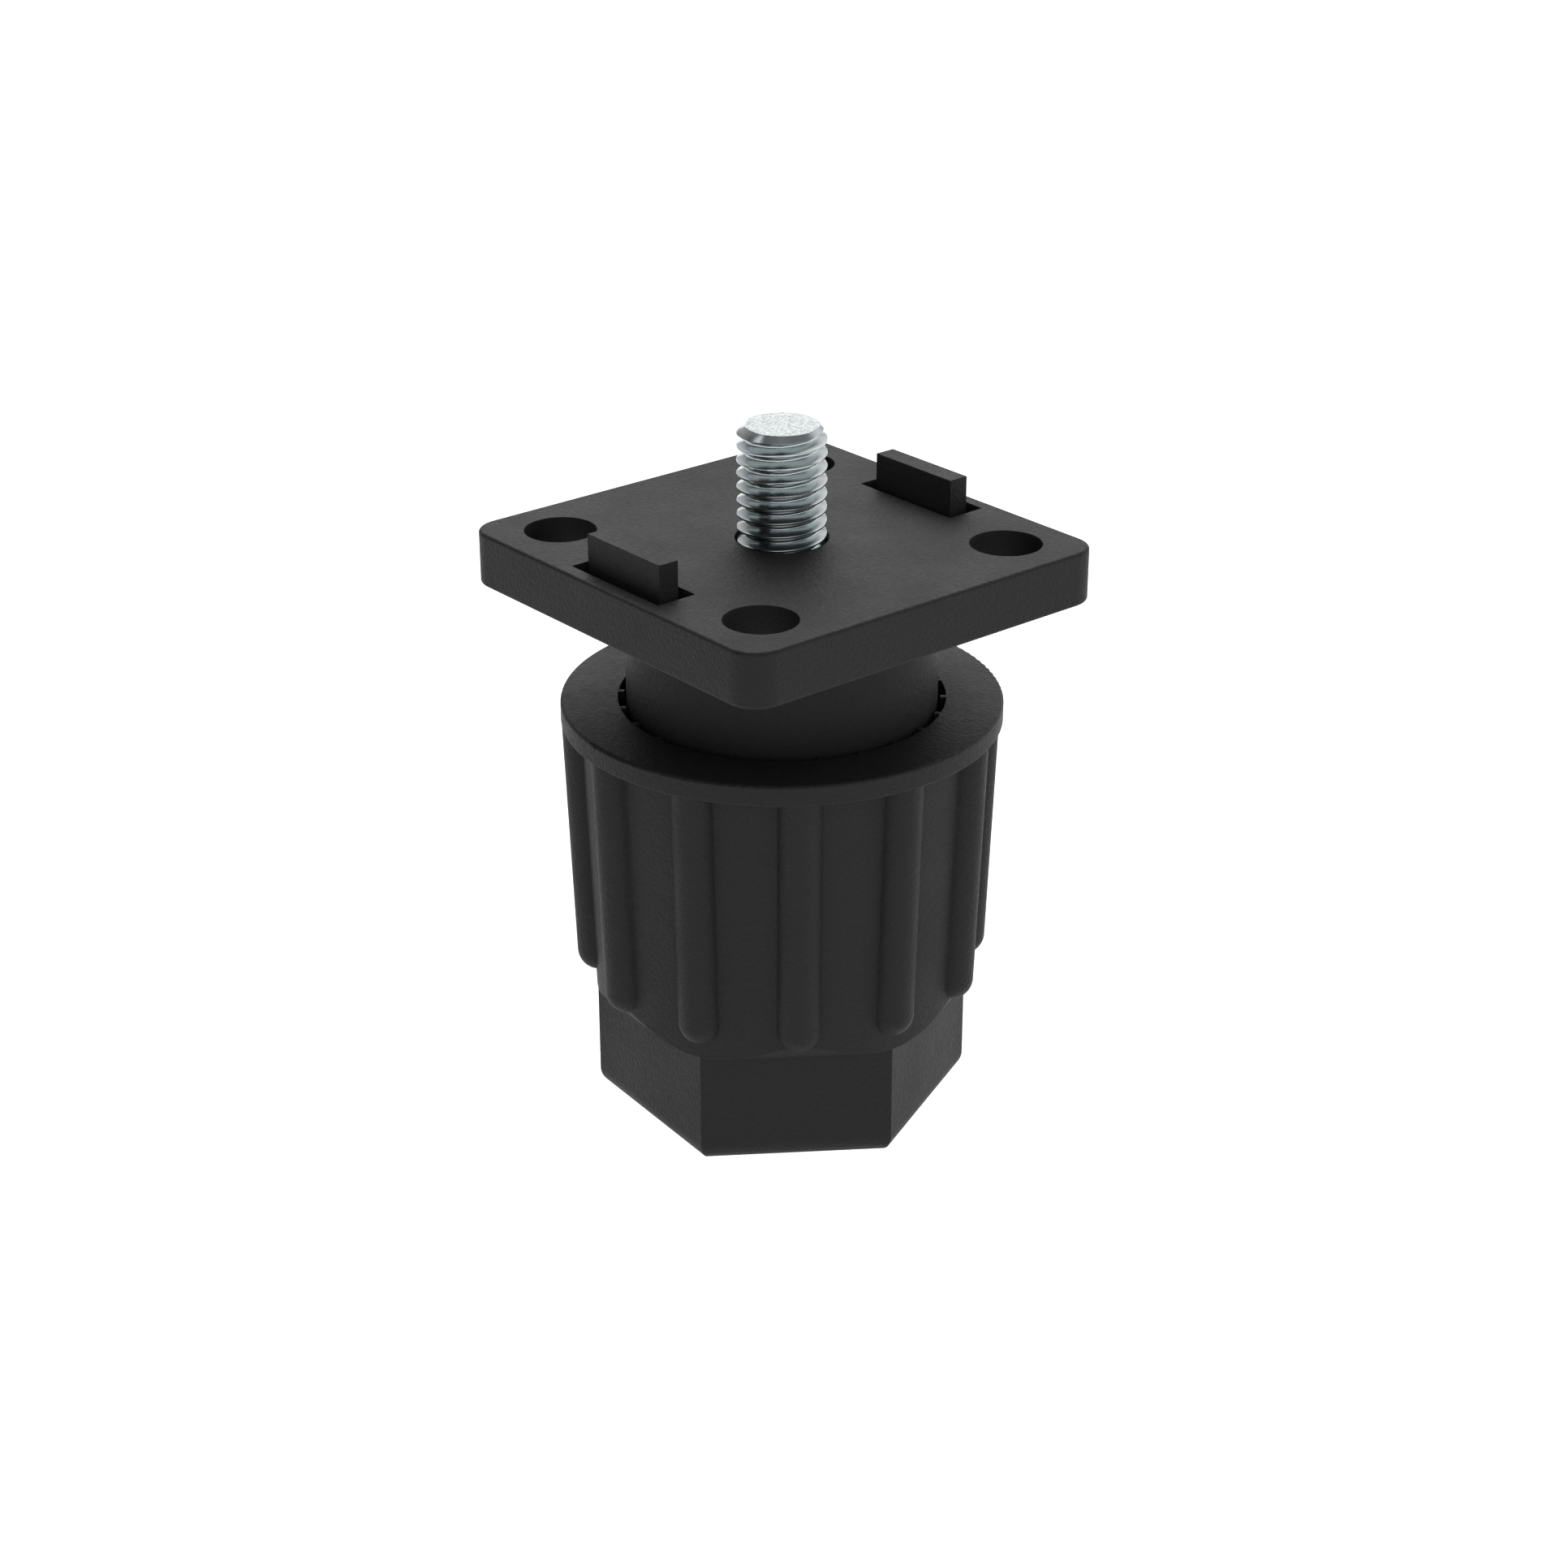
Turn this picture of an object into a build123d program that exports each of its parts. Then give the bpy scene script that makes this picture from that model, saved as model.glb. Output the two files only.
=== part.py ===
from build123d import *
from math import cos, radians, tan
import os

# Levelling foot for a rack or a cabinet, in millimetres.
# +Z is up and the origin is on the floor, on the axis of the adjusting screw.
# A square top plate with a round neck is bolted under the rack. A ribbed base with a hexagonal
# end stands on the floor. The screw is held in the base and climbs through a bush in the neck,
# so turning the base by hand or with a wrench raises or lowers the rack.

# Heights above the floor
base_ledge_z = 11.35       # the sleeve ends here and the hexagon begins
sleeve_floor_z = 12.3      # floor of the bore that takes the neck
flange_top_z = 40.2        # rim round the mouth of the sleeve
plate_top_z = 55.3         # face that meets the rack, at the height shown

# Top plate
plate_side = 40.0
plate_thickness = 5.0
plate_corner_r = 2.8
plate_edge_r = 0.3
bolt_hole_d = 6.5
bolt_edge_distance = 6.0   # from the middle of a bolt hole to the plate's sides
screw_clearance_d = 8.4    # hole in the plate that the stud passes through

# Locating tabs, each rising from the floor of its own recess
tab_length = 10.0
tab_thickness = 2.0
tab_rise = 3.0
tab_edge_distance = 3.4    # from the middle of a tab to the plate's side
recess_length = 12.1
recess_width = 4.0
recess_depth = 3.8

# Neck under the plate, and the boss and webs inside it
neck_clearance = 0.75      # radial, between the neck and the bore of the sleeve
neck_wall = 2.4
neck_bottom_z = 22.5
neck_entry = 0.6           # chamfer that leads the neck into the sleeve
neck_root_r = 0.8
boss_wall = 2.4
neck_web_count = 6
neck_web_thickness = 1.6
neck_web_bottom_z = 36.0

# Adjusting screw, a full-thread hexagon head screw M8 x 55 standing on its head
thread_d = 8.0
thread_end_d = 6.65        # flat end of the stud inside its chamfer
thread_end_chamfer = 0.7
screw_length = 55.0
head_flats = 13.0
head_height = 5.3
head_face_d = 12.3         # flat face of the head inside its chamfer
head_chamfer_angle = 30.0
head_floor = 5.4           # moulding left under the head

# Bush with the internal thread, pushed up into the boss from below
bush_d = 11.0
bush_shoulder_width = 1.7  # how far the shoulder stands out from the shank
bush_shoulder_height = 2.0
bush_length = 14.0
bush_edge = 0.4
bush_groove_depth = 0.5
bush_groove_width = 1.6
bush_knurl_count = 24
bush_knurl_depth = 0.25
bush_roof = 3.0            # plate left above the bush

# Base moulding
flange_margin = 0.1        # how much wider the flange is than the plate
flange_thickness = 2.0
flange_edge_r = 0.25
flange_overhang = 1.65     # how far the flange stands out from the sleeve
sleeve_mouth_wall = 3.55   # wall of the sleeve just under the flange
draft = 2.0                # degrees, of the sleeve and its ribs
hex_sides = 6
hex_inset = 0.08           # how far the hexagon's corners lie inside the sleeve's lower end
hex_edge_r = 2.0           # round on the sole's edges
grip_count = 12
grip_r = 2.0
grip_proud = 1.6           # how far a grip rib stands out of the sleeve
grip_end_z = 14.95         # centre of the ball that ends a grip rib
guide_count = 24
guide_thickness = 0.45
guide_clearance = 0.2      # between the guide ribs and the neck

# Coring of the sole
sole_wall = 3.0
sole_pocket_width = 2.25   # from the wall's inner flats to the hub
sole_core_depth = 8.0
sole_web_thickness = 1.8
sole_core_r = 0.6

# Fits and clearances
running_fit = 0.05         # radial, at the screw and at the bush
bush_end_float = 0.05
bush_way_clearance = 0.2   # radial, where the bush's shoulder passes the webs
fuse_depth = 0.4           # how far added ribs and webs run into the wall that carries them
over_cut = 1.0             # how far a cutting tool runs past a face
shoulder_lift = 0.02       # keeps the round under the sleeve off an exact tangent
pick_tolerance = 0.01      # how near an edge's radius must be for the edge to be picked

# How far the base happens to be turned from the plate in the picture, in degrees
base_turn = -5.0

# Derived sizes
plate_bottom_z = plate_top_z - plate_thickness
bolt_spacing = plate_side - 2 * bolt_edge_distance
tab_offset = plate_side / 2 - tab_edge_distance
flange_bottom_z = flange_top_z - flange_thickness
flange_r = (plate_side + flange_margin) / 2
sleeve_top_r = flange_r - flange_overhang
bore_r = sleeve_top_r - sleeve_mouth_wall
neck_r = bore_r - neck_clearance
neck_bore_r = neck_r - neck_wall
thread_r = thread_d / 2
bush_r = bush_d / 2
bush_shoulder_r = bush_r + bush_shoulder_width
bush_top_z = plate_top_z - bush_roof - bush_end_float
bush_bottom_z = bush_top_z - bush_length
bush_shoulder_z = bush_bottom_z + bush_shoulder_height
boss_bore_r = bush_r + running_fit
boss_r = boss_bore_r + boss_wall
boss_bottom_z = bush_shoulder_z + bush_end_float
slope = tan(radians(draft))
hex_step = 360 / hex_sides
flat_to_corner = 1 / cos(radians(hex_step / 2))


def sleeve_r(z):
    """Outer radius of the drafted sleeve between its ribs, at the height z."""
    return sleeve_top_r - (flange_bottom_z - z) * slope


hex_corner_r = sleeve_r(base_ledge_z) - hex_inset
hex_flat_r = hex_corner_r / flat_to_corner
sole_hub_r = hex_flat_r - sole_wall - sole_pocket_width


def hexagon(flats):
    """Regular hexagon across the given flats, with corners on X."""
    return RegularPolygon(radius=flats / 2, side_count=hex_sides, major_radius=False)


def locating_tab(side):
    """One tab and the recess round its root, on the side of the plate given by the sign."""
    recess_floor_z = plate_top_z - recess_depth
    place = Pos(0, side * tab_offset, recess_floor_z)
    recess = place * extrude(Rectangle(recess_length, recess_width), amount=recess_depth + over_cut)
    tab = place * Pos(0, 0, -fuse_depth) * extrude(
        Rectangle(tab_length, tab_thickness),
        amount=recess_depth + tab_rise + fuse_depth,
    )
    return recess, tab


def top_plate():
    """The upper moulding: plate, locating tabs, neck, and the boss and webs inside the neck."""
    outline = RectangleRounded(plate_side, plate_side, plate_corner_r)
    plate = Pos(0, 0, plate_bottom_z) * extrude(outline, amount=plate_thickness)
    rims = plate.edges().filter_by_position(Axis.Z, plate_top_z, plate_top_z)
    rims += plate.edges().filter_by_position(Axis.Z, plate_bottom_z, plate_bottom_z)
    plate = fillet(rims, plate_edge_r)

    # Neck, with a lead-in at its lower end, turned as one section
    neck_section = Plane.XZ * make_face(
        Polyline(
            (neck_bore_r, plate_bottom_z + fuse_depth),
            (neck_r, plate_bottom_z + fuse_depth),
            (neck_r, neck_bottom_z + neck_entry),
            (neck_r - neck_entry, neck_bottom_z),
            (neck_bore_r, neck_bottom_z),
            close=True,
        )
    )
    body = plate + revolve(neck_section, axis=Axis.Z)
    root = body.edges().filter_by(GeomType.CIRCLE)
    root = root.filter_by_position(Axis.Z, plate_bottom_z, plate_bottom_z)
    root = [edge for edge in root if abs(edge.radius - neck_r) < pick_tolerance]
    body = fillet(root, neck_root_r)

    # Boss round the bush, tied to the neck by webs
    boss_height = plate_bottom_z + fuse_depth - boss_bottom_z
    body += Pos(0, 0, boss_bottom_z) * Cylinder(
        boss_r, boss_height, align=(Align.CENTER, Align.CENTER, Align.MIN)
    )
    web_length = neck_bore_r + fuse_depth - bush_r - boss_wall / 2
    web_height = plate_bottom_z + fuse_depth - neck_web_bottom_z
    web_section = Rectangle(web_length, neck_web_thickness, align=(Align.MIN, Align.CENTER))
    for turn in range(neck_web_count):
        place = Rot(0, 0, 360 / neck_web_count * turn) * Pos(
            bush_r + boss_wall / 2, 0, neck_web_bottom_z
        )
        body += place * extrude(web_section, amount=web_height)
    bush_way = Pos(0, 0, neck_web_bottom_z - over_cut) * Cylinder(
        bush_shoulder_r + bush_way_clearance,
        boss_bottom_z - neck_web_bottom_z + over_cut,
        align=(Align.CENTER, Align.CENTER, Align.MIN),
    )
    body -= bush_way
    body -= Pos(0, 0, boss_bottom_z - over_cut) * Cylinder(
        boss_bore_r,
        bush_top_z + bush_end_float - boss_bottom_z + over_cut,
        align=(Align.CENTER, Align.CENTER, Align.MIN),
    )

    # Holes through the plate
    drill_depth = plate_thickness + 2 * over_cut
    drill_z = plate_bottom_z - over_cut
    body -= Pos(0, 0, drill_z) * extrude(Circle(screw_clearance_d / 2), amount=drill_depth)
    for corner in GridLocations(bolt_spacing, bolt_spacing, 2, 2):
        body -= corner * Pos(0, 0, drill_z) * extrude(Circle(bolt_hole_d / 2), amount=drill_depth)

    for side in (-1, 1):
        recess, tab = locating_tab(side)
        body = body - recess + tab
    return body


def threaded_bush():
    """Round metal bush with a shoulder, a knurled shank and two grooves."""
    groove_inner_r = bush_r - bush_groove_depth
    thread_bore_r = thread_r + running_fit
    lower_groove = bush_shoulder_height
    upper_groove = (bush_length + bush_shoulder_height - bush_groove_width) / 2
    section = Plane.XZ * make_face(
        Polyline(
            (thread_bore_r + bush_edge, 0),
            (bush_shoulder_r - bush_edge, 0),
            (bush_shoulder_r, bush_edge),
            (bush_shoulder_r, bush_shoulder_height),
            (groove_inner_r, lower_groove),
            (groove_inner_r, lower_groove + bush_groove_width),
            (bush_r, lower_groove + bush_groove_width),
            (bush_r, upper_groove),
            (groove_inner_r, upper_groove),
            (groove_inner_r, upper_groove + bush_groove_width),
            (bush_r, upper_groove + bush_groove_width),
            (bush_r, bush_length - bush_edge),
            (bush_r - bush_edge, bush_length),
            (thread_bore_r + bush_edge, bush_length),
            (thread_bore_r, bush_length - bush_edge),
            (thread_bore_r, bush_edge),
            close=True,
        )
    )
    bush = revolve(section, axis=Axis.Z)
    # Each flute of the knurl is a vee cut along the shank by the corner of a square bar
    flute = Pos(bush_r, 0, lower_groove + bush_groove_width) * extrude(
        RegularPolygon(radius=bush_knurl_depth, side_count=4), amount=bush_length
    )
    for turn in range(bush_knurl_count):
        bush -= Rot(0, 0, 360 / bush_knurl_count * turn) * flute
    return Pos(0, 0, bush_bottom_z) * bush


def adjusting_screw():
    """Hexagon head screw, head down. The thread is left as a plain cylinder of its full size."""
    head = extrude(hexagon(head_flats), amount=head_height)
    # The head's outer face has the usual turned chamfer on its corners
    blank_r = head_flats / 2 * flat_to_corner + over_cut
    chamfer_rise = (blank_r - head_face_d / 2) * tan(radians(head_chamfer_angle))
    turned = Plane.XZ * make_face(
        Polyline(
            (0, 0),
            (head_face_d / 2, 0),
            (blank_r, chamfer_rise),
            (blank_r, head_height),
            (0, head_height),
            close=True,
        )
    )
    head &= revolve(turned, axis=Axis.Z)
    shank = Plane.XZ * make_face(
        Polyline(
            (0, head_height - fuse_depth),
            (thread_r, head_height - fuse_depth),
            (thread_r, head_height + screw_length - thread_end_chamfer),
            (thread_end_d / 2, head_height + screw_length),
            (0, head_height + screw_length),
            close=True,
        )
    )
    screw = head + revolve(shank, axis=Axis.Z)
    return Pos(0, 0, head_floor) * Rot(0, 0, base_turn) * screw


def flat_cutter():
    """Tool that cuts one flat of the hexagon and rounds the sleeve in above it, along +X."""
    round_r = sleeve_r(base_ledge_z) + shoulder_lift - hex_flat_r
    round_r /= 1 / cos(radians(draft)) - slope
    outside = flange_r + over_cut
    shoulder = CenterArc((hex_flat_r, base_ledge_z + round_r), round_r, start_angle=-90, arc_size=90)
    outline = shoulder + Polyline(
        shoulder @ 1,
        (outside, base_ledge_z + round_r),
        (outside, -over_cut),
        (hex_flat_r, -over_cut),
        shoulder @ 0,
    )
    return extrude(Plane.XZ * make_face(outline), amount=flange_r, both=True)


def grip_rib():
    """One round grip rib along +X, leaning with the draft, with a ball at its lower end."""
    axis_depth = grip_r - grip_proud
    foot = Vector(sleeve_r(grip_end_z) - axis_depth, 0, grip_end_z)
    top_z = flange_bottom_z + flange_thickness / 2
    head = Vector(sleeve_r(top_z) - axis_depth, 0, top_z)
    direction = head - foot
    run = Plane(origin=foot, z_dir=direction) * extrude(Circle(grip_r), amount=direction.length)
    return run + Pos(*foot) * Sphere(grip_r)


def base():
    """The lower moulding: flange, guide ribs, ribbed sleeve and hexagonal end."""
    # Sleeve and blank of the hexagon, turned as one section
    section = Plane.XZ * make_face(
        Polyline(
            (0, 0),
            (hex_corner_r + shoulder_lift, 0),
            (sleeve_r(base_ledge_z), base_ledge_z),
            (sleeve_r(flange_bottom_z), flange_bottom_z),
            (flange_r, flange_bottom_z),
            (flange_r, flange_top_z),
            (0, flange_top_z),
            close=True,
        )
    )
    body = revolve(section, axis=Axis.Z)
    flange_rims = body.edges().filter_by(GeomType.CIRCLE)
    flange_rims = flange_rims.filter_by_position(Axis.Z, flange_bottom_z, flange_top_z)
    flange_rims = [edge for edge in flange_rims if abs(edge.radius - flange_r) < pick_tolerance]
    body = fillet(flange_rims, flange_edge_r)
    flat = flat_cutter()
    for side in range(hex_sides):
        body -= Rot(0, 0, hex_step * (side + 0.5)) * flat
    sole = body.faces().sort_by(Axis.Z)[0]
    body = fillet(sole.edges(), hex_edge_r)

    rib = grip_rib()
    for turn in range(grip_count):
        body += Rot(0, 0, 360 / grip_count * turn) * rib

    # Bore for the neck, with the pocket for the screw's head in its floor
    body -= Pos(0, 0, sleeve_floor_z) * extrude(
        Circle(bore_r), amount=flange_top_z - sleeve_floor_z + over_cut
    )
    body -= Pos(0, 0, head_floor) * extrude(hexagon(head_flats), amount=sleeve_floor_z)

    # Guide ribs that centre the neck, flush with the flange
    guide_inner_r = neck_r + guide_clearance
    guide = Pos(guide_inner_r, 0, sleeve_floor_z - fuse_depth) * extrude(
        Rectangle(
            bore_r - guide_inner_r + fuse_depth,
            guide_thickness,
            align=(Align.MIN, Align.CENTER),
        ),
        amount=flange_top_z - sleeve_floor_z + fuse_depth,
    )
    for turn in range(guide_count):
        body += Rot(0, 0, 360 / guide_count * (turn + 0.5)) * guide

    # Underside cored between the outer wall and the hub, with a web to each corner
    core = hexagon(2 * (hex_flat_r - sole_wall)) - Circle(sole_hub_r)
    for turn in range(hex_sides // 2):
        core -= Rectangle(2 * hex_corner_r, sole_web_thickness, rotation=hex_step * turn)
    for pocket in core.faces():
        tool = extrude(pocket, amount=sole_core_depth)
        tool = fillet(tool.edges().filter_by(Axis.Z), sole_core_r)
        body -= tool
    return Rot(0, 0, base_turn) * body


def main():
    os.makedirs("parts", exist_ok=True)
    pieces = {
        "top_plate": top_plate(),
        "threaded_bush": threaded_bush(),
        "adjusting_screw": adjusting_screw(),
        "ribbed_base": base(),
    }
    for name, piece in pieces.items():
        export_step(piece, f"parts/{name}.step")


main()
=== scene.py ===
"""Levelling foot: finishes for the mouldings, a real helical thread on the stud, light and camera."""

from math import cos, pi, radians, sin, tan

import bmesh
import bpy
from bpy.props import FloatProperty, FloatVectorProperty, IntProperty, PointerProperty
from mathutils import Matrix, Vector


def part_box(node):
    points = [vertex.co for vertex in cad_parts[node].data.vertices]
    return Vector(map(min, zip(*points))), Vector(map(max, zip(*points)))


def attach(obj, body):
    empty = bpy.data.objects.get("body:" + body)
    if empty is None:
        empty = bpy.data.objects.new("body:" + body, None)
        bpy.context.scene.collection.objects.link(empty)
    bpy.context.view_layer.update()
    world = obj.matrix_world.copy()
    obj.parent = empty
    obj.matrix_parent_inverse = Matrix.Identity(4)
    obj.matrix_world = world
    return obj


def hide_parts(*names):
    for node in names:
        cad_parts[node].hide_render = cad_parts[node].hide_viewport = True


bl_info = {
    "name": "Levelling Foot",
    "version": (1, 0, 0),
    "blender": (4, 5, 0),
    "location": "View3D > Sidebar > Levelling Foot",
    "description": "Dresses the levelling foot: moulded plastic, zinc-plated thread, stage and camera",
    "category": "Object",
}

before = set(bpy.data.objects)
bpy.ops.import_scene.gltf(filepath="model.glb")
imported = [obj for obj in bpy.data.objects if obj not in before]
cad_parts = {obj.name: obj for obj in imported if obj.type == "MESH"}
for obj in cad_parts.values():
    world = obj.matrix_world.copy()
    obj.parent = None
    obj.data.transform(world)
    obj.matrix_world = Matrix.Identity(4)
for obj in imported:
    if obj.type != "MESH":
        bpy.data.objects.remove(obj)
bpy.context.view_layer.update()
MM = 0.001
SCREW_LOW, SCREW_HIGH = (Vector(corner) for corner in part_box("adjusting_screw"))
BASE_LOW = Vector(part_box("ribbed_base")[0])

# Height of the plate's face above the sole of the base
PLATE_FACE = 55.3 * MM

# Form of the metric thread: its depth, and the places where root and crest are rounded, in pitches
THREAD_DEPTH = 0.6134
FLANK_ANGLE = radians(30.0)
CREST_WIDTH = 1.0 / 8.0
ROOT_RISE = 0.012
ROOT_CORNER = 0.06
# Share of half the root that stays flat, and share of half the crest that is rounded
ROOT_FLAT = 0.7
CREST_ROUND = 0.3

# The turned blank that gives the end chamfer: past the crests, below the thread's foot, and its steps
BLANK_MARGIN = 0.2 * MM
BLANK_BELOW = 0.5 * MM
BLANK_STEPS = 144

# The head: how far the thread reaches into it, and the bevel of its rims
HEAD_OVERLAP = 0.2 * MM
HEAD_BEVEL = 0.35 * MM
# Edges that bend more than this stay sharp on the screw
SHARP_ANGLE = radians(24.0)

# Distances under which points are merged, in any piece and along the thread's seams
SAME_POINT = 0.0005 * MM
SAME_SEAM = 0.002 * MM
# Distances under which a point lies in a cut, a rim lies on its cut and an edge is level
CUT_GAP = 0.0001 * MM
RIM_GAP = 0.001 * MM
LEVEL_GAP = 0.1 * MM

# The finish of the stud's end face fades in between these depths under the stud's top
END_FADE = (0.03 * MM, 0.01 * MM)

# Sides of the round floor, width of the camera's sensor in millimetres, and nearest distance in metres
FLOOR_SIDES = 96
SENSOR_WIDTH = 36.0
CLIP_START = 0.01

# Elevations between which the wall light changes to the ceiling light, in degrees
WALL_RANGE = (12.0, 72.0)
# Soft panels: the setting with the strength, its sign, then heading, height and reach in degrees
# A heading of 0 is behind the foot, and 90 is on the camera's right
PANELS = (
    ("back_light", 1.0, 2.0, 34.0, 38.0),
    ("high_light", 1.0, 0.0, 54.0, 34.0),
    ("front_light", 1.0, 178.0, 32.0, 38.0),
    ("side_light", 1.0, -58.0, 14.0, 26.0),
    ("left_light", 1.0, -85.0, 53.0, 11.0),
    ("left_shade", -1.0, -105.0, 0.0, 70.0),
    ("right_light", 1.0, 68.0, 3.0, 46.0),
)


# Settings

class MouldingSettings(bpy.types.PropertyGroup):
    """The black moulded plastic of the plate and the base."""

    colour: FloatVectorProperty(
        name="Colour",
        description="Colour of the plastic",
        subtype="COLOR",
        default=(0.0142, 0.0142, 0.0144),
        min=0.0,
        max=1.0,
    )
    roughness: FloatProperty(
        name="Roughness",
        description="Mean roughness of the moulded skin",
        default=0.58,
        min=0.0,
        max=1.0,
    )
    grain_size: FloatProperty(
        name="Grain Size",
        description="Width of one cell of the spark-eroded grain",
        default=0.28 * MM,
        unit="LENGTH",
        precision=5,
    )
    grain_depth: FloatProperty(
        name="Grain Depth",
        description="Depth of the grain",
        default=0.054 * MM,
        unit="LENGTH",
        precision=6,
    )
    edge_radius: FloatProperty(
        name="Edge Radius",
        description="Round that the mould leaves on an edge",
        default=0.12 * MM,
        unit="LENGTH",
        precision=5,
    )


class ThreadSettings(bpy.types.PropertyGroup):
    """The metric thread and the head of the adjusting screw."""

    pitch: FloatProperty(
        name="Pitch",
        description="Rise of the thread in one turn",
        default=1.25 * MM,
        unit="LENGTH",
        precision=5,
    )
    diameter: FloatProperty(
        name="Diameter",
        description="Diameter over the crests",
        default=8.0 * MM,
        unit="LENGTH",
        precision=5,
    )
    first_crest: FloatProperty(
        name="First Crest",
        description="Height of a crest on the +X side above the top of the plate",
        default=0.17 * MM,
        unit="LENGTH",
        precision=5,
    )
    end_diameter: FloatProperty(
        name="End Diameter",
        description="Diameter of the flat end inside its chamfer",
        default=6.65 * MM,
        unit="LENGTH",
        precision=5,
    )
    end_chamfer: FloatProperty(
        name="End Chamfer",
        description="Height of the chamfer at the stud's end",
        default=0.7 * MM,
        unit="LENGTH",
        precision=5,
    )
    head_flats: FloatProperty(
        name="Head Flats",
        description="Width of the head across its flats",
        default=13.0 * MM,
        unit="LENGTH",
        precision=5,
    )
    head_height: FloatProperty(
        name="Head Height",
        description="Height of the head",
        default=5.3 * MM,
        unit="LENGTH",
        precision=5,
    )
    head_turn: FloatProperty(
        name="Head Turn",
        description="How far the head's corners are turned from X",
        default=radians(-5.0),
        subtype="ANGLE",
    )
    steps: IntProperty(
        name="Steps",
        description="Divisions of one turn of the thread",
        default=72,
        min=24,
        max=128,
    )


class MetalSettings(bpy.types.PropertyGroup):
    """The zinc plate of the screw, its sheared end and the turned metal of the bush."""

    zinc: FloatVectorProperty(
        name="Zinc",
        description="Colour of the zinc plate",
        subtype="COLOR",
        default=(0.405, 0.445, 0.455),
        min=0.0,
        max=1.0,
    )
    shear: FloatVectorProperty(
        name="Sheared End",
        description="Colour of the stud's sheared end face",
        subtype="COLOR",
        default=(0.395, 0.42, 0.424),
        min=0.0,
        max=1.0,
    )
    bush: FloatVectorProperty(
        name="Bush",
        description="Colour of the turned bush",
        subtype="COLOR",
        default=(0.72, 0.53, 0.25),
        min=0.0,
        max=1.0,
    )
    zinc_roughness: FloatProperty(
        name="Zinc Roughness",
        description="Mean roughness of the zinc plate",
        default=0.2,
        min=0.0,
        max=1.0,
    )
    shear_roughness: FloatProperty(
        name="Shear Roughness",
        description="Roughness of the stud's sheared end face",
        default=0.42,
        min=0.0,
        max=1.0,
    )
    bush_roughness: FloatProperty(
        name="Bush Roughness",
        description="Mean roughness of the turned bush",
        default=0.32,
        min=0.0,
        max=1.0,
    )


class StudioSettings(bpy.types.PropertyGroup):
    """Camera, floor and light."""

    azimuth: FloatProperty(
        name="Azimuth",
        description="Direction of the camera round the foot, from -Y towards +X",
        default=radians(50.0),
        subtype="ANGLE",
    )
    elevation: FloatProperty(
        name="Elevation",
        description="Angle that the camera looks down",
        default=radians(25.0),
        subtype="ANGLE",
    )
    distance: FloatProperty(
        name="Distance",
        description="From the camera to the point that it looks at",
        default=280.1 * MM,
        unit="LENGTH",
    )
    target: FloatVectorProperty(
        name="Target",
        description="Point that the camera looks at",
        subtype="XYZ",
        unit="LENGTH",
        default=(0.12 * MM, 0.14 * MM, 31.12 * MM),
        precision=5,
    )
    focal_length: FloatProperty(
        name="Focal Length",
        description="Lens, in millimetres",
        default=70.0,
    )
    floor_colour: FloatVectorProperty(
        name="Floor Colour",
        description="Colour of the floor",
        subtype="COLOR",
        default=(0.55, 0.55, 0.55),
        min=0.0,
        max=1.0,
    )
    floor_glow: FloatProperty(
        name="Floor Glow",
        description="Light that the milky floor gives off, as a light table does",
        default=0.83,
        min=0.0,
    )
    floor_radius: FloatProperty(
        name="Floor Radius",
        description="Radius of the round floor",
        default=4.0,
        unit="LENGTH",
    )
    floor_rim: FloatProperty(
        name="Floor Rim",
        description="Height of the floor's rim, which hides the horizon",
        default=0.18,
        unit="LENGTH",
    )
    floor_drop: FloatProperty(
        name="Floor Drop",
        description="How far the floor lies under the foot, which comes down onto it as it turns out",
        default=12.0 * MM,
        unit="LENGTH",
        precision=5,
    )
    backdrop: FloatProperty(
        name="Backdrop",
        description="Brightness of the plain background above the floor",
        default=1.3,
        min=0.0,
    )
    wall_light: FloatProperty(
        name="Wall Light",
        description="Strength of the light low on the walls",
        default=0.48,
        min=0.0,
    )
    ceiling_light: FloatProperty(
        name="Ceiling Light",
        description="Strength of the light straight above the foot",
        default=0.3,
        min=0.0,
    )
    back_light: FloatProperty(
        name="Back Light",
        description="Strength that the soft panel behind the foot adds",
        default=1.6,
    )
    high_light: FloatProperty(
        name="High Light",
        description="Strength that the soft panel high behind the foot adds",
        default=3.7,
    )
    front_light: FloatProperty(
        name="Front Light",
        description="Strength that the soft panel behind the camera adds",
        default=1.1,
    )
    side_light: FloatProperty(
        name="Side Light",
        description="Strength that the soft panel on the left behind the foot adds",
        default=0.25,
    )
    left_light: FloatProperty(
        name="Left Light",
        description="Strength that the small soft panel high on the camera's left adds",
        default=1.6,
    )
    left_shade: FloatProperty(
        name="Left Shade",
        description="Strength that the dark screen on the camera's left takes away",
        default=0.45,
        min=0.0,
    )
    right_light: FloatProperty(
        name="Right Light",
        description="Strength that the soft panel on the camera's right adds",
        default=1.5,
    )


# Nodes

def add_node(tree, kind, values=None, **attributes):
    """Adds a node, sets its attributes, then the defaults of the inputs named in values."""
    node = tree.nodes.new(kind)
    for name, value in attributes.items():
        setattr(node, name, value)
    for name, value in (values or {}).items():
        node.inputs[name].default_value = value
    return node


def join(tree, source, output, target, entry):
    """Links one node's output to another node's input."""
    tree.links.new(source.outputs[output], target.inputs[entry])


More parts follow.
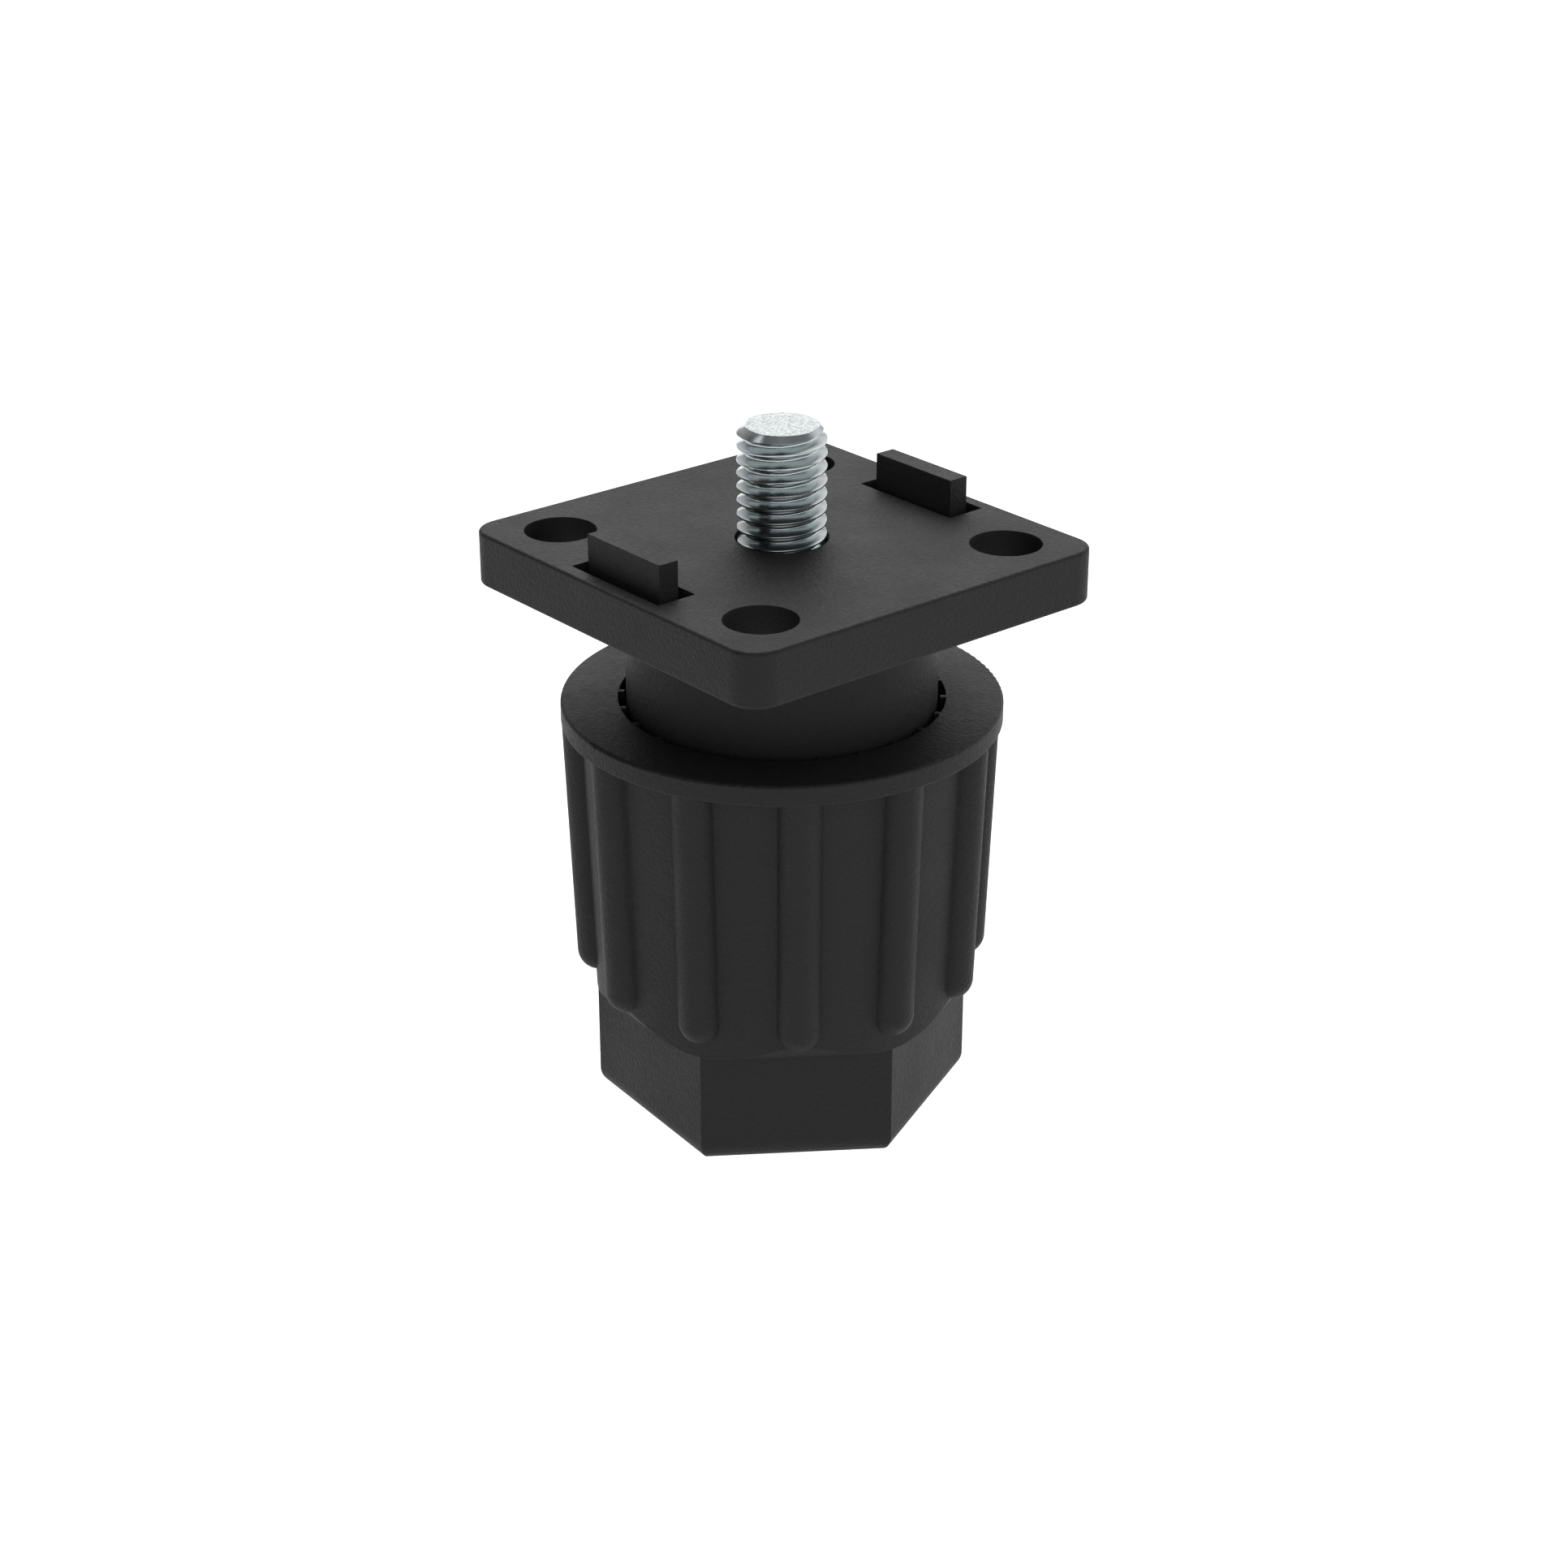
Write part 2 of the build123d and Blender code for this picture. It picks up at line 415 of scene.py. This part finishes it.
def mottle_group():
    """Cloudy variation of roughness and colour, with fine relief, for moulded and plated skins."""
    name = "Skin Mottle"
    if name in bpy.data.node_groups:
        return bpy.data.node_groups[name]
    group = bpy.data.node_groups.new(name, "ShaderNodeTree")
    sockets = group.interface
    sockets.new_socket("Vector", in_out="INPUT", socket_type="NodeSocketVector")
    for entry, value in (
        ("Grain Scale", 3000.0),
        ("Cloud Scale", 300.0),
        ("Roughness Low", 0.45),
        ("Roughness High", 0.6),
    ):
        socket = sockets.new_socket(entry, in_out="INPUT", socket_type="NodeSocketFloat")
        socket.default_value = value
    sockets.new_socket("Height", in_out="OUTPUT", socket_type="NodeSocketFloat")
    sockets.new_socket("Roughness", in_out="OUTPUT", socket_type="NodeSocketFloat")
    sockets.new_socket("Cloud", in_out="OUTPUT", socket_type="NodeSocketFloat")
    entry = add_node(group, "NodeGroupInput")
    result = add_node(group, "NodeGroupOutput")
    grain = add_node(group, "ShaderNodeTexNoise", {"Detail": 2.0, "Roughness": 0.55})
    fine = add_node(group, "ShaderNodeTexVoronoi", {"Randomness": 1.0}, feature="SMOOTH_F1")
    cloud = add_node(group, "ShaderNodeTexNoise", {"Detail": 3.0, "Roughness": 0.6})
    for texture, scale in ((fine, "Grain Scale"), (cloud, "Cloud Scale")):
        join(group, entry, "Vector", texture, "Vector")
        join(group, entry, scale, texture, "Scale")
    # The noise is coarser than the cells, so the grain looks like fine leather
    coarse = add_node(group, "ShaderNodeMath", {1: 0.7}, operation="MULTIPLY")
    join(group, entry, "Grain Scale", coarse, 0)
    join(group, coarse, 0, grain, "Scale")
    join(group, entry, "Vector", grain, "Vector")
    relief = add_node(group, "ShaderNodeMath", {1: 0.6}, operation="MULTIPLY_ADD")
    join(group, fine, "Distance", relief, 0)
    join(group, grain, "Fac", relief, 2)
    # The roughness follows the grain and the clouds by halves
    halved = add_node(group, "ShaderNodeMath", {1: 0.5}, operation="MULTIPLY")
    join(group, cloud, "Fac", halved, 0)
    blend = add_node(group, "ShaderNodeMath", {1: 0.5}, operation="MULTIPLY_ADD")
    join(group, grain, "Fac", blend, 0)
    join(group, halved, 0, blend, 2)
    spread = add_node(group, "ShaderNodeMapRange", {"From Min": 0.35, "From Max": 0.65})
    join(group, blend, 0, spread, "Value")
    join(group, entry, "Roughness Low", spread, "To Min")
    join(group, entry, "Roughness High", spread, "To Max")
    join(group, relief, 0, result, "Height")
    join(group, spread, "Result", result, "Roughness")
    join(group, cloud, "Fac", result, "Cloud")
    return group


def new_material(name):
    """An empty node material with its Principled shader and output joined."""
    material = bpy.data.materials.new(name)
    material.use_nodes = True
    tree = material.node_tree
    tree.nodes.clear()
    output = add_node(tree, "ShaderNodeOutputMaterial")
    shader = add_node(tree, "ShaderNodeBsdfPrincipled")
    join(tree, shader, "BSDF", output, "Surface")
    return material, tree, shader


def skin_nodes(tree, shader, grain_scale, cloud_scale, roughness, spread, depth):
    """Adds the mottled skin to a material and joins its roughness and relief to the shader."""
    place = add_node(tree, "ShaderNodeTexCoord")
    skin = add_node(
        tree,
        "ShaderNodeGroup",
        {
            "Grain Scale": grain_scale,
            "Cloud Scale": cloud_scale,
            "Roughness Low": roughness - spread,
            "Roughness High": roughness + spread,
        },
        node_tree=mottle_group(),
    )
    join(tree, place, "Object", skin, "Vector")
    relief = add_node(tree, "ShaderNodeBump", {"Strength": 1.0, "Distance": depth})
    join(tree, skin, "Height", relief, "Height")
    join(tree, relief, "Normal", shader, "Normal")
    join(tree, skin, "Roughness", shader, "Roughness")
    return place, skin, relief


def round_edges(tree, relief, radius):
    """Softens a material's edges by the given radius, under its relief."""
    edges = add_node(tree, "ShaderNodeBevel", {"Radius": radius}, samples=6)
    join(tree, edges, "Normal", relief, "Normal")


def mixed(tree, kind, factor, low, high):
    """Mixes two values or colours, given as constants or sockets, and returns the output socket."""
    mixer = add_node(tree, "ShaderNodeMix", data_type=kind)
    entries = [socket for socket in mixer.inputs if socket.enabled]
    for entry, value in zip(entries, (factor, low, high)):
        if isinstance(value, bpy.types.NodeSocket):
            tree.links.new(value, entry)
        else:
            entry.default_value = value
    return next(socket for socket in mixer.outputs if socket.enabled)


def tinted(tree, skin, base, drift):
    """A colour that drifts round the base colour with the cloud of the skin."""
    dark, light = (Vector(base) * (1.0 + way * drift) for way in (-1, 1))
    return mixed(tree, "RGBA", skin.outputs["Cloud"], (*dark, 1.0), (*light, 1.0))


def black_moulding(settings):
    """Matt black plastic with the fine grain of a spark-eroded mould."""
    material, tree, shader = new_material("black_moulding")
    _, skin, relief = skin_nodes(
        tree,
        shader,
        grain_scale=1.0 / settings.grain_size,
        cloud_scale=120.0,
        roughness=settings.roughness,
        spread=0.06,
        depth=settings.grain_depth,
    )
    round_edges(tree, relief, settings.edge_radius)
    colour = tinted(tree, skin, settings.colour, drift=0.15)
    tree.links.new(colour, shader.inputs["Base Color"])
    shader.inputs["IOR"].default_value = 1.5
    shader.inputs["Specular IOR Level"].default_value = 0.14
    return material


def zinc_plate(settings, end_height):
    """Zinc-plated steel, bluish, with the speckled shear mark on the stud's end face, whose bright spots
    are partly painted glints.
    """
    material, tree, shader = new_material("zinc_plate")
    place, skin, relief = skin_nodes(
        tree,
        shader,
        grain_scale=8000.0,
        cloud_scale=500.0,
        roughness=settings.zinc_roughness,
        spread=0.03,
        depth=0.0004 * MM,
    )
    shader.inputs["Metallic"].default_value = 1.0
    # The end face is rougher than the thread: a mask just under the stud's end
    height = add_node(tree, "ShaderNodeSeparateXYZ")
    join(tree, place, "Object", height, "Vector")
    top = add_node(tree, "ShaderNodeMapRange", {
        "From Min": end_height - END_FADE[0],
        "From Max": end_height - END_FADE[1],
        "To Min": 0.0,
        "To Max": 1.0,
    })
    join(tree, height, "Z", top, "Value")
    mask = top.outputs["Result"]
    speck = add_node(tree, "ShaderNodeTexNoise", {"Scale": 5200.0, "Detail": 3.0, "Roughness": 0.7})
    join(tree, place, "Object", speck, "Vector")
    # The end face's speckle is the sheared metal's own tone, and its bright spots are partly painted
    # glints
    speckle_and_glint = add_node(tree, "ShaderNodeMapRange", {"From Min": 0.4, "From Max": 0.6})
    join(tree, speck, "Fac", speckle_and_glint, "Value")
    dull, bright_and_glint = ((*(Vector(settings.shear) * level), 1.0) for level in (0.62, 1.3))
    shear = mixed(tree, "RGBA", speckle_and_glint.outputs["Result"], dull, bright_and_glint)
    zinc = tinted(tree, skin, settings.zinc, drift=0.1)
    tree.links.new(mixed(tree, "RGBA", mask, zinc, shear), shader.inputs["Base Color"])
    tree.links.new(
        mixed(tree, "FLOAT", mask, skin.outputs["Roughness"], settings.shear_roughness),
        shader.inputs["Roughness"],
    )
    marks = add_node(tree, "ShaderNodeMath", operation="MULTIPLY")
    tree.links.new(mask, marks.inputs[0])
    join(tree, speck, "Fac", marks, 1)
    dents = add_node(tree, "ShaderNodeBump", {"Strength": 1.0, "Distance": 0.12 * MM})
    join(tree, marks, 0, dents, "Height")
    join(tree, relief, "Normal", dents, "Normal")
    join(tree, dents, "Normal", shader, "Normal")
    return material


def turned_bush(settings):
    """Turned metal with fine rings round its axis."""
    material, tree, shader = new_material("turned_bush")
    place, skin, relief = skin_nodes(
        tree,
        shader,
        grain_scale=3000.0,
        cloud_scale=400.0,
        roughness=settings.bush_roughness,
        spread=0.06,
        depth=0.002 * MM,
    )
    colour = tinted(tree, skin, settings.bush, drift=0.09)
    tree.links.new(colour, shader.inputs["Base Color"])
    shader.inputs["Metallic"].default_value = 1.0
    rings = add_node(
        tree,
        "ShaderNodeTexWave",
        {"Scale": 2500.0, "Distortion": 0.4, "Detail": 1.0},
        wave_type="BANDS",
        bands_direction="Z",
    )
    join(tree, place, "Object", rings, "Vector")
    lathe = add_node(tree, "ShaderNodeBump", {"Strength": 0.5, "Distance": 0.004 * MM})
    join(tree, rings, "Fac", lathe, "Height")
    join(tree, relief, "Normal", lathe, "Normal")
    join(tree, lathe, "Normal", shader, "Normal")
    return material


def dress(piece, material):
    """Gives a piece one material."""
    piece.data.materials.clear()
    piece.data.materials.append(material)


# Mesh work

def finished_object(name, shape, material):
    """Closes a bmesh into an object with outward faces, and dresses it."""
    bmesh.ops.remove_doubles(shape, verts=shape.verts, dist=SAME_POINT)
    bmesh.ops.recalc_face_normals(shape, faces=shape.faces)
    mesh = bpy.data.meshes.new(name)
    shape.to_mesh(mesh)
    shape.free()
    piece = bpy.data.objects.new(name, mesh)
    bpy.context.scene.collection.objects.link(piece)
    dress(piece, material)
    return piece


def thread_profile(settings):
    """Points of one pitch of the thread, as (radius, rise), from the middle of one root to the next."""
    pitch = settings.pitch
    crest_r = settings.diameter / 2
    middle = pitch / 2
    depth = THREAD_DEPTH * pitch
    slope = tan(FLANK_ANGLE)
    root_r = crest_r - depth
    crest_half = CREST_WIDTH * pitch / 2
    root_half = middle - crest_half - depth * slope
    rounding = CREST_ROUND * crest_half
    corner = ROOT_CORNER * pitch
    lower = [
        (root_r, 0.0),
        (root_r + ROOT_RISE * pitch, root_half * ROOT_FLAT),
        (root_r + corner, root_half + corner * slope),
        (crest_r - rounding, middle - crest_half - rounding * slope),
        (crest_r, middle - crest_half + rounding),
    ]
    return lower + [(radius, pitch - rise) for radius, rise in reversed(lower)]


def thread_shape(settings, low, high, phase):
    """A closed threaded rod from low to high, with a crest on +X at the height phase."""
    shape = bmesh.new()
    pitch = settings.pitch
    start = phase - pitch / 2
    while start > low - pitch:
        start -= pitch
    turns = int((high - start) / pitch) + 2
    rim = [shape.verts.new((radius, 0.0, start + rise)) for radius, rise in thread_profile(settings)]
    edges = [shape.edges.new(pair) for pair in zip(rim, rim[1:])]
    bmesh.ops.spin(
        shape,
        geom=rim + edges,
        cent=(0.0, 0.0, 0.0),
        axis=(0.0, 0.0, 1.0),
        dvec=(0.0, 0.0, pitch / settings.steps),
        angle=2 * pi,
        steps=settings.steps,
        use_merge=False,
        use_duplicate=False,
    )
    one_turn = shape.verts[:] + shape.edges[:] + shape.faces[:]
    for turn in range(1, turns):
        copied = bmesh.ops.duplicate(shape, geom=one_turn)
        moved = [item for item in copied["geom"] if isinstance(item, bmesh.types.BMVert)]
        bmesh.ops.translate(shape, verts=moved, vec=(0.0, 0.0, pitch * turn))
    bmesh.ops.remove_doubles(shape, verts=shape.verts, dist=SAME_SEAM)
    for height, keep_up in ((low, True), (high, False)):
        bmesh.ops.bisect_plane(
            shape,
            geom=shape.verts[:] + shape.edges[:] + shape.faces[:],
            dist=CUT_GAP,
            plane_co=(0.0, 0.0, height),
            plane_no=(0.0, 0.0, 1.0),
            clear_outer=not keep_up,
            clear_inner=keep_up,
        )
        rim_edges = [edge for edge in shape.edges if edge.is_boundary]
        near = [
            edge for edge in rim_edges
            if all(abs(vert.co.z - height) < RIM_GAP for vert in edge.verts)
        ]
        bmesh.ops.edgeloop_fill(shape, edges=near)
    return shape


def turned_blank(settings, low, high):
    """Turned solid that gives the stud its end chamfer."""
    shape = bmesh.new()
    crest_r = settings.diameter / 2
    outside = crest_r + BLANK_MARGIN
    end_r = settings.end_diameter / 2
    slope = (crest_r - end_r) / settings.end_chamfer
    shoulder = high - settings.end_chamfer - (outside - crest_r) / slope
    outline = [
        (0.0, low - BLANK_BELOW),
        (outside, low - BLANK_BELOW),
        (outside, shoulder),
        (end_r, high),
        (0.0, high),
    ]
    rim = [shape.verts.new((radius, 0.0, height)) for radius, height in outline]
    edges = [shape.edges.new(pair) for pair in zip(rim, rim[1:])]
    bmesh.ops.spin(
        shape,
        geom=rim + edges,
        cent=(0.0, 0.0, 0.0),
        axis=(0.0, 0.0, 1.0),
        angle=2 * pi,
        steps=BLANK_STEPS,
        use_merge=True,
        use_duplicate=False,
    )
    return shape


def hexagon_head(settings, low):
    """The screw's hexagonal head with turned corners, standing on the height low."""
    shape = bmesh.new()
    corner_r = settings.head_flats / 2 / cos(radians(30))
    made = bmesh.ops.create_circle(shape, cap_ends=True, segments=6, radius=corner_r)
    turn = Matrix.Rotation(settings.head_turn, 3, "Z")
    bmesh.ops.rotate(shape, verts=made["verts"], cent=(0.0, 0.0, 0.0), matrix=turn)
    bmesh.ops.translate(shape, verts=made["verts"], vec=(0.0, 0.0, low))
    grown = bmesh.ops.extrude_face_region(shape, geom=shape.faces[:])
    top = [item for item in grown["geom"] if isinstance(item, bmesh.types.BMVert)]
    bmesh.ops.translate(shape, verts=top, vec=(0.0, 0.0, settings.head_height))
    rims = [
        edge for edge in shape.edges
        if abs(edge.verts[0].co.z - edge.verts[1].co.z) < LEVEL_GAP
    ]
    bmesh.ops.bevel(
        shape,
        geom=rims,
        offset=HEAD_BEVEL,
        offset_type="OFFSET",
        segments=2,
        profile=0.5,
        affect="EDGES",
        material=-1,
    )
    return shape


def baked(piece, name):
    """Applies a piece's modifiers and keeps the result under the given name."""
    graph = bpy.context.evaluated_depsgraph_get()
    mesh = bpy.data.meshes.new_from_object(piece.evaluated_get(graph))
    mesh.name = name
    old = piece.data
    piece.modifiers.clear()
    piece.data = mesh
    bpy.data.meshes.remove(old)
    piece.name = name
    return piece


# Operators

class FOOT_OT_finish_mouldings(bpy.types.Operator):
    """Gives the plate and the base their black grained plastic and the small rounds of a mould"""

    bl_idname = "foot.finish_mouldings"
    bl_label = "Finish Mouldings"

    def execute(self, context):
        settings = context.scene.foot_moulding
        material = black_moulding(settings)
        for name in ("top_plate", "ribbed_base"):
            dress(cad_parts[name], material)
        return {"FINISHED"}


class FOOT_OT_make_screw(bpy.types.Operator):
    """Builds the adjusting screw with a real helical thread in place of its plain solid"""

    bl_idname = "foot.make_screw"
    bl_label = "Make Screw"

    def execute(self, context):
        settings = context.scene.foot_thread
        material = zinc_plate(context.scene.foot_metal, SCREW_HIGH.z)
        head_top = SCREW_LOW.z + settings.head_height
        phase = BASE_LOW.z + PLATE_FACE + settings.first_crest
        thread = thread_shape(settings, head_top - HEAD_OVERLAP, SCREW_HIGH.z, phase)
        piece = finished_object("threaded_screw", thread, material)
        blank = finished_object("turned_blank", turned_blank(settings, head_top, SCREW_HIGH.z), material)
        cut = piece.modifiers.new("End Chamfer", "BOOLEAN")
        cut.operation = "INTERSECT"
        cut.object = blank
        cut.solver = "MANIFOLD"
        baked(piece, "threaded_screw")
        bpy.data.objects.remove(blank)
        if len(piece.data.polygons) < settings.steps:
            raise RuntimeError("the thread is empty after its end was turned")
        whole = bmesh.new()
        whole.from_mesh(piece.data)
        head = hexagon_head(settings, SCREW_LOW.z)
        bmesh.ops.recalc_face_normals(head, faces=head.faces)
        spare = bpy.data.meshes.new("head")
        head.to_mesh(spare)
        head.free()
        whole.from_mesh(spare)
        whole.to_mesh(piece.data)
        whole.free()
        bpy.data.meshes.remove(spare)
        dress(piece, material)
        piece.data.shade_smooth()
        sharp = piece.modifiers.new("Edge Split", "EDGE_SPLIT")
        sharp.split_angle = SHARP_ANGLE
        baked(piece, "threaded_screw")
        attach(piece, "foot")
        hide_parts("adjusting_screw")
        return {"FINISHED"}


class FOOT_OT_finish_bush(bpy.types.Operator):
    """Gives the threaded bush its turned finish"""

    bl_idname = "foot.finish_bush"
    bl_label = "Finish Bush"

    def execute(self, context):
        dress(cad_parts["threaded_bush"], turned_bush(context.scene.foot_metal))
        return {"FINISHED"}


class FOOT_OT_set_stage(bpy.types.Operator):
    """Lays the pale floor, hangs the soft lights and sets the camera"""

    bl_idname = "foot.set_stage"
    bl_label = "Set Stage"

    def execute(self, context):
        scene = context.scene
        settings = scene.foot_studio
        scene.view_settings.view_transform = "Standard"
        self.lay_floor(settings)
        self.light_room(scene, settings)
        self.place_camera(scene, settings)
        return {"FINISHED"}

    def lay_floor(self, settings):
        """A wide pale floor with a low rim, under the lowest place of the foot."""
        material, tree, shader = new_material("pale_floor")
        shader.inputs["Base Color"].default_value = (*settings.floor_colour, 1.0)
        shader.inputs["Roughness"].default_value = 0.9
        shader.inputs["Specular IOR Level"].default_value = 0.1
        shader.inputs["Emission Color"].default_value = (1.0, 1.0, 1.0, 1.0)
        shader.inputs["Emission Strength"].default_value = settings.floor_glow
        shape = bmesh.new()
        bmesh.ops.create_circle(
            shape, cap_ends=True, segments=FLOOR_SIDES, radius=settings.floor_radius
        )
        rim = bmesh.ops.extrude_edge_only(shape, edges=shape.edges[:])
        raised = [item for item in rim["geom"] if isinstance(item, bmesh.types.BMVert)]
        bmesh.ops.translate(shape, verts=raised, vec=(0.0, 0.0, settings.floor_rim))
        floor_z = BASE_LOW.z - settings.floor_drop
        bmesh.ops.translate(shape, verts=shape.verts[:], vec=(0.0, 0.0, floor_z))
        floor = finished_object("floor", shape, material)

    def light_room(self, scene, settings):
        """Walls and a darker ceiling, with soft panels and one dark screen round the foot."""
        world = bpy.data.worlds.new("studio")
        world.use_nodes = True
        tree = world.node_tree
        tree.nodes.clear()
        output = add_node(tree, "ShaderNodeOutputWorld")
        room = add_node(tree, "ShaderNodeBackground")
        join(tree, room, "Background", output, "Surface")
        place = add_node(tree, "ShaderNodeTexCoord")
        parts = add_node(tree, "ShaderNodeSeparateXYZ")
        join(tree, place, "Generated", parts, "Vector")
        # The light falls off with the sine of the elevation
        walls = add_node(tree, "ShaderNodeMapRange", {
            "From Min": sin(radians(WALL_RANGE[0])),
            "From Max": sin(radians(WALL_RANGE[1])),
            "To Min": settings.wall_light,
            "To Max": settings.ceiling_light,
        })
        join(tree, parts, "Z", walls, "Value")
        level = walls.outputs["Result"]
        for name, sign, heading, height, reach in PANELS:
            turn = settings.azimuth + pi / 2 - radians(heading)
            strength = sign * getattr(settings, name)
            panel = self.light_panel(tree, place, turn, radians(height), radians(reach), strength)
            total = add_node(tree, "ShaderNodeMath", operation="ADD")
            tree.links.new(level, total.inputs[0])
            tree.links.new(panel, total.inputs[1])
            level = total.outputs[0]
        # The camera itself sees an even pale background
        path = add_node(tree, "ShaderNodeLightPath")
        seen = mixed(tree, "FLOAT", path.outputs["Is Camera Ray"], level, settings.backdrop)
        tree.links.new(seen, room.inputs["Strength"])
        scene.world = world

    def light_panel(self, tree, place, turn, rise, reach, strength):
        """Strength that is full within a third of a round panel's reach and fades to nothing at it."""
        middle = (cos(turn) * cos(rise), sin(turn) * cos(rise), sin(rise))
        facing = add_node(tree, "ShaderNodeVectorMath", {1: middle}, operation="DOT_PRODUCT")
        join(tree, place, "Generated", facing, 0)
        panel = add_node(tree, "ShaderNodeMapRange", {
            "From Min": cos(reach),
            "From Max": cos(reach / 3),
            "To Min": 0.0,
            "To Max": strength,
        }, interpolation_type="SMOOTHSTEP")
        join(tree, facing, "Value", panel, "Value")
        return panel.outputs["Result"]

    def place_camera(self, scene, settings):
        """The camera at the photograph's viewing angle."""
        lens = bpy.data.cameras.new("camera")
        lens.lens = settings.focal_length
        lens.sensor_width = SENSOR_WIDTH
        lens.clip_start = CLIP_START
        camera = bpy.data.objects.new("camera", lens)
        level = settings.distance * cos(settings.elevation)
        camera.location = Vector(settings.target) + Vector((
            level * sin(settings.azimuth),
            -level * cos(settings.azimuth),
            settings.distance * sin(settings.elevation),
        ))
        camera.rotation_euler = (pi / 2 - settings.elevation, 0.0, settings.azimuth)
        scene.collection.objects.link(camera)
        scene.camera = camera


class FOOT_PT_panel(bpy.types.Panel):
    """Lists the steps and sizes of the levelling foot"""

    bl_idname = "FOOT_PT_panel"
    bl_label = "Levelling Foot"
    bl_space_type = "VIEW_3D"
    bl_region_type = "UI"
    bl_category = "Levelling Foot"

    def draw(self, context):
        layout = self.layout
        for settings, operator in (
            ("foot_moulding", "foot.finish_mouldings"),
            ("foot_thread", "foot.make_screw"),
            ("foot_metal", "foot.finish_bush"),
            ("foot_studio", "foot.set_stage"),
        ):
            box = layout.box()
            group = getattr(context.scene, settings)
            for name in group.__annotations__:
                box.prop(group, name)
            box.operator(operator)


SETTINGS = {
    "foot_moulding": MouldingSettings,
    "foot_thread": ThreadSettings,
    "foot_metal": MetalSettings,
    "foot_studio": StudioSettings,
}
CLASSES = (
    MouldingSettings,
    ThreadSettings,
    MetalSettings,
    StudioSettings,
    FOOT_OT_finish_mouldings,
    FOOT_OT_make_screw,
    FOOT_OT_finish_bush,
    FOOT_OT_set_stage,
    FOOT_PT_panel,
)


def register():
    """Registers the classes and hangs their settings on the scene."""
    for item in CLASSES:
        bpy.utils.register_class(item)
    for name, group in SETTINGS.items():
        setattr(bpy.types.Scene, name, PointerProperty(type=group))


def unregister():
    """Takes the settings and the classes away again."""
    for name in SETTINGS:
        delattr(bpy.types.Scene, name)
    for item in reversed(CLASSES):
        bpy.utils.unregister_class(item)


def main():
    """Runs every step in order."""
    register()
    bpy.ops.foot.finish_mouldings()
    bpy.ops.foot.make_screw()
    bpy.ops.foot.finish_bush()
    bpy.ops.foot.set_stage()


if __name__ == "__main__":
    main()
